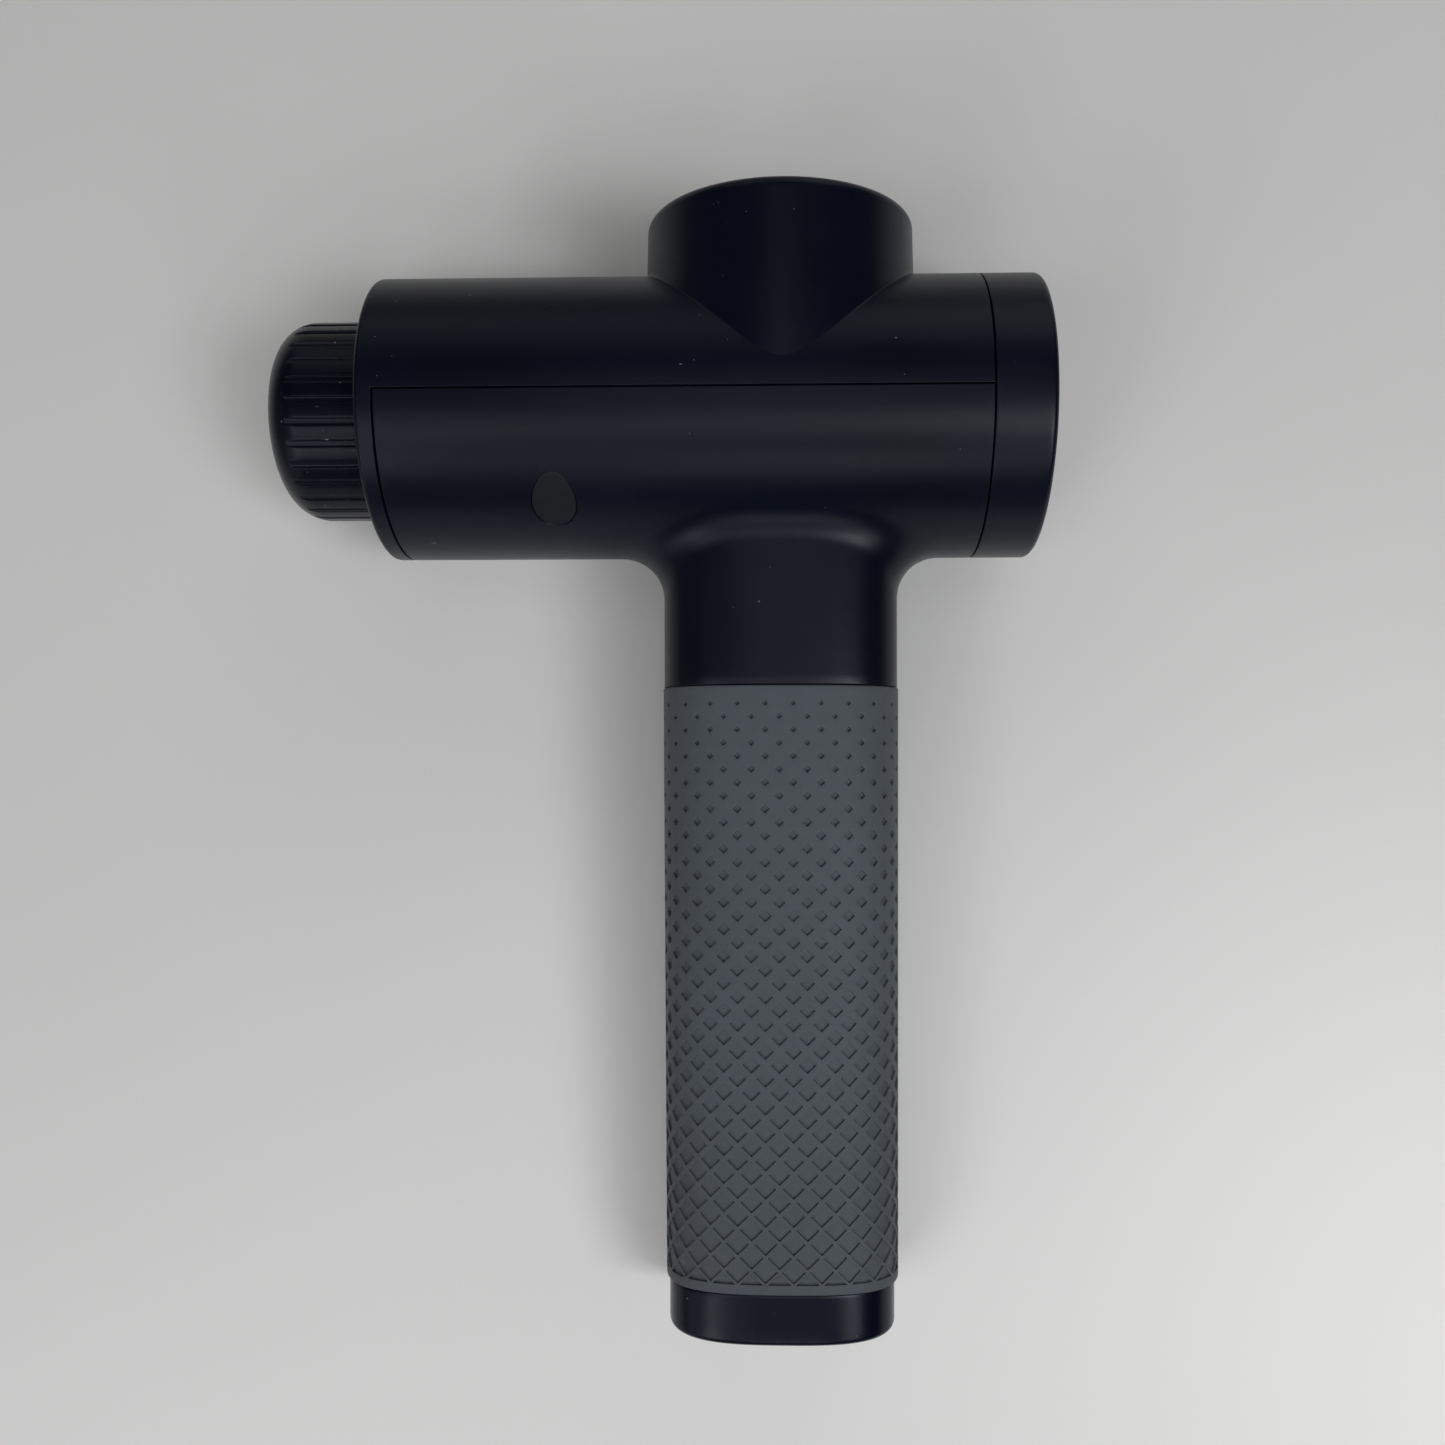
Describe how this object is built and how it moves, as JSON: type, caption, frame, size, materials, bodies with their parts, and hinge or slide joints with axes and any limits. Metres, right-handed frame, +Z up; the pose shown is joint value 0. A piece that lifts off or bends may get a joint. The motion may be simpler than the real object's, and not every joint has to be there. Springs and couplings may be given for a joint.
{
  "type": "massage gun",
  "caption": "Cordless percussion massage gun with a round barrel, motor boss, ribbed push-in attachment socket and a straight handle in a textured silicone sleeve.",
  "frame": {"origin": "middle of the underside of the bounding box, with the gun lying on its side", "axes": "+Z up out of the surface it lies on; -X towards the attachment socket; +Y towards the motor boss, -Y down the handle"},
  "size_m": [0.1572, 0.2314, 0.0584],
  "materials": {
    "black_plastic": "fine satin soft-touch black",
    "socket_plastic": "satin black, moulded ribs",
    "plug_rubber": "dull black rubber",
    "grip_silicone": "matt slate-grey silicone with diamond pockets",
    "black_rubber": "matt black rubber",
    "smoked_lens": "smoked gloss",
    "steel": "bright machined steel",
    "aluminium": "die-cast aluminium",
    "bronze": "sintered bronze",
    "magnet": "dark nickel-plated magnet",
    "copper": "enamelled copper wire",
    "nickel": "nickel strip",
    "board_green": "green circuit board",
    "cell_wrap": "blue shrink wrap over a steel can",
    "holder_plastic": "moulded black",
    "lead_insulation": "red insulation",
    "clear_pipe": "clear moulded light pipe"
  },
  "bodies": {
    "gun_body": {"lower_housing": "black_plastic", "upper_housing": "black_plastic", "rear_cap": "black_plastic", "display_lens": "smoked_lens", "display_board": "board_green", "dome_switch": "nickel", "display_screw_1": "steel", "display_screw_2": "steel", "grip_sleeve": "grip_silicone", "end_cap": "black_plastic", "charge_jack": "steel", "charge_board": "board_green", "charge_light": "clear_pipe", "screw_plug_left": "plug_rubber", "screw_plug_right": "plug_rubber", "housing_screw_left": "steel", "housing_screw_right": "steel", "drive_frame": "aluminium", "guide_bush": "bronze", "front_damper": "black_rubber", "motor_damper": "black_rubber", "dust_seal": "black_rubber", "motor_base": "aluminium", "motor_bearing_lower": "steel", "motor_bearing_upper": "steel", "motor_screw_1": "steel", "motor_screw_2": "steel", "motor_screw_3": "steel", "motor_screw_4": "steel", "stator_core": "steel", "stator_windings": "copper", "battery_cell_1": "cell_wrap", "battery_cell_2": "cell_wrap", "battery_cell_3": "cell_wrap", "battery_cell_4": "cell_wrap", "cell_holder_top": "holder_plastic", "cell_holder_middle": "holder_plastic", "cell_holder_bottom": "holder_plastic", "cell_strip_top": "nickel", "cell_strip_middle": "nickel", "cell_strip_bottom": "nickel", "battery_board": "board_green", "control_board": "board_green", "battery_leads": "lead_insulation", "motor_leads": "lead_insulation", "display_lead": "lead_insulation"},
    "rotor": {"rotor_bell": "aluminium", "rotor_magnets": "magnet", "motor_shaft": "steel", "crank_disc": "steel"},
    "piston": {"piston": "steel", "attachment_socket": "socket_plastic", "socket_liner": "black_rubber", "socket_screw": "steel", "wrist_pin": "steel"},
    "connecting_rod": {"connecting_rod": "aluminium", "big_end_bearing": "steel", "crank_pin": "steel"},
    "power_button": {"power_button": "black_plastic"}
  },
  "joints": [
    {"name": "rotor_spin", "type": "hinge", "parent": "gun_body", "child": "rotor", "pos_m": [0.02595, 0.0744, 0.0292], "axis": [0, 1, 0], "continuous": true},
    {"name": "piston_slide", "type": "slide", "parent": "gun_body", "child": "piston", "axis": [-1, 0, 0], "range_m": [0, 0.012]},
    {"name": "rod_swing", "type": "hinge", "parent": "piston", "child": "connecting_rod", "pos_m": [-0.00605, 0.0744, 0.0292], "axis": [0, 1, 0], "range_deg": [-9.1, 9.1]},
    {"name": "button_press", "type": "slide", "parent": "gun_body", "child": "power_button", "axis": [-1, 0, 0], "range_m": [0, 0.0008], "stiffness_N_per_m": 1500}
  ]
}
